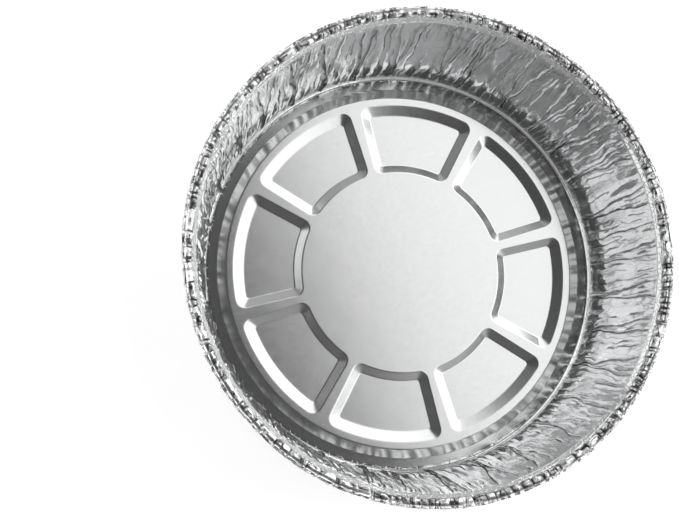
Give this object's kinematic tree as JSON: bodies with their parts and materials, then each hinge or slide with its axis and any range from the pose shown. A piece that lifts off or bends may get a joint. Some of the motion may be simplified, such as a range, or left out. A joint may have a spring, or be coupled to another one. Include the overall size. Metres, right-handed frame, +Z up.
{
  "type": "foil pie tin",
  "caption": "Deep round foil pie tin with a creased, flared wall, a rolled and crimped rim and pressed panels round the base.",
  "frame": {"origin": "middle of the base, on the surface that the tin stands on", "axes": "+Z up along the tin's axis, towards its open top; +X between two pressed panels"},
  "size_m": [0.2302, 0.2305, 0.0652],
  "materials": {
    "foil": "bright rolled foil, satin on the flat base and glossy on the creases and rim"
  },
  "bodies": {
    "root": {"tin": "foil"}
  },
  "joints": []
}
